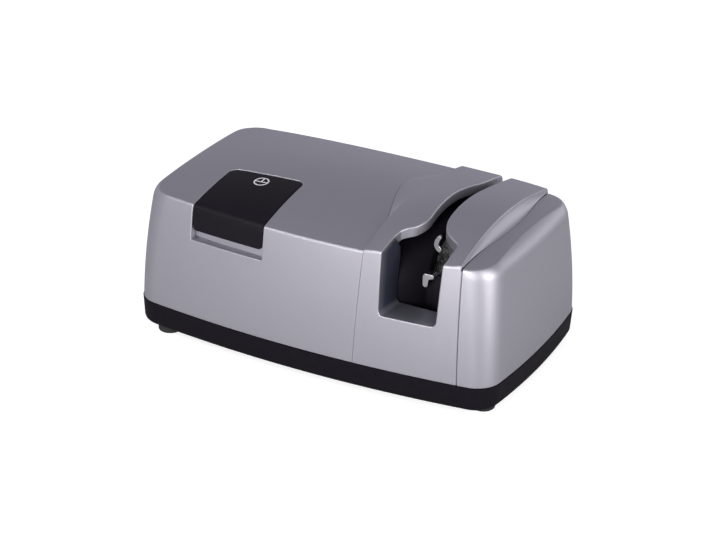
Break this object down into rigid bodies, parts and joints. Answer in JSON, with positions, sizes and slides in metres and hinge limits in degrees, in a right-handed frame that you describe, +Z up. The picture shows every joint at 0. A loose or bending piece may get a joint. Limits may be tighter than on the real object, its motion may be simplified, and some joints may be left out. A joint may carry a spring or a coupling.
{
  "type": "electric knife sharpener",
  "caption": "Electric knife sharpener: silver covers on a black base, arched guide with a knife slot over abrasive wheels, and a black start button.",
  "frame": {"origin": "on the table, under the middle of the body", "axes": "+X towards the knife slot's end, -Y towards the user, +Z up"},
  "size_m": [0.22, 0.1316, 0.0935],
  "materials": {
    "black_button": "satin",
    "black_plastic": "satin",
    "black_rubber": "matt",
    "black_switch": "smooth",
    "blue_lead": "smooth",
    "bright_steel": "ground",
    "bronze": "sintered",
    "brown_lead": "smooth",
    "cast_aluminium": "as cast",
    "copper": "enamelled copper",
    "cream_plastic": "satin",
    "grit": "fine grit",
    "laminated_steel": "stamped sheets",
    "red_plastic": "smooth",
    "silver_cover": "satin silver paint",
    "spring_steel": "bright",
    "white_plastic": "satin",
    "yellow_plastic": "smooth",
    "zinc_steel": "zinc plated"
  },
  "bodies": {
    "housing": {"motor_cover": "silver_cover", "guide_cover": "silver_cover", "end_cover": "silver_cover", "base_tray": "black_plastic", "wheel_guard": "black_plastic", "foot_front_left": "black_rubber", "foot_front_right": "black_rubber", "foot_rear_left": "black_rubber", "foot_rear_right": "black_rubber", "filings_tray": "black_plastic", "door_screw": "zinc_steel", "base_screws": "zinc_steel", "button_spring": "spring_steel", "hinge_pin": "bright_steel", "switch_body": "black_switch", "switch_bracket": "zinc_steel", "switch_screws": "zinc_steel", "stator_stack": "laminated_steel", "shading_rings": "copper", "coil_bobbin": "cream_plastic", "coil_winding": "copper", "motor_bracket_left": "cast_aluminium", "motor_bracket_right": "cast_aluminium", "bush_left": "bronze", "bush_right": "bronze", "bush_outboard": "bronze", "motor_screws": "zinc_steel", "motor_nuts": "zinc_steel", "motor_mounts": "black_rubber", "mount_screws": "zinc_steel", "bearing_post": "cast_aluminium", "bearing_screws": "zinc_steel", "blade_spring": "spring_steel", "blade_rest": "bright_steel", "cord_gland": "black_rubber", "cord_clamp": "black_plastic", "clamp_screws": "zinc_steel", "terminal_block": "cream_plastic", "terminal_screws": "bronze", "suppressor": "yellow_plastic", "lead_brown": "brown_lead", "lead_blue": "blue_lead"},
    "rotor": {"spindle": "bright_steel", "rotor_core": "laminated_steel", "rotor_rings": "cast_aluminium", "fan": "white_plastic", "wheel_left": "grit", "wheel_right": "grit", "wheel_hub_left": "black_plastic", "wheel_hub_right": "black_plastic", "spindle_collar": "bright_steel", "spindle_clips": "spring_steel", "grit_flinger": "black_rubber"},
    "button": {"start_button": "black_button"},
    "plunger": {"switch_plunger": "red_plastic"}
  },
  "joints": [
    {"name": "spindle_turn", "type": "hinge", "parent": "housing", "child": "rotor", "pos_m": [0, 0, 0.0495], "axis": [1, 0, 0], "continuous": true},
    {"name": "button_tilt", "type": "hinge", "parent": "housing", "child": "button", "pos_m": [-0.0479, -0.018, 0.08295], "axis": [1, 0, 0], "range_deg": [0, 3], "stiffness_Nm_per_rad": 0.7, "springref_deg": -5.73, "deforming": ["button_spring"]},
    {"name": "plunger_slide", "type": "slide", "parent": "housing", "child": "plunger", "axis": [0, 0, -1], "range_m": [0, 0.0012]}
  ],
  "couplings": [
    {"joint": "plunger_slide", "follows": "button_tilt", "m_per_rad": 0.022}
  ]
}
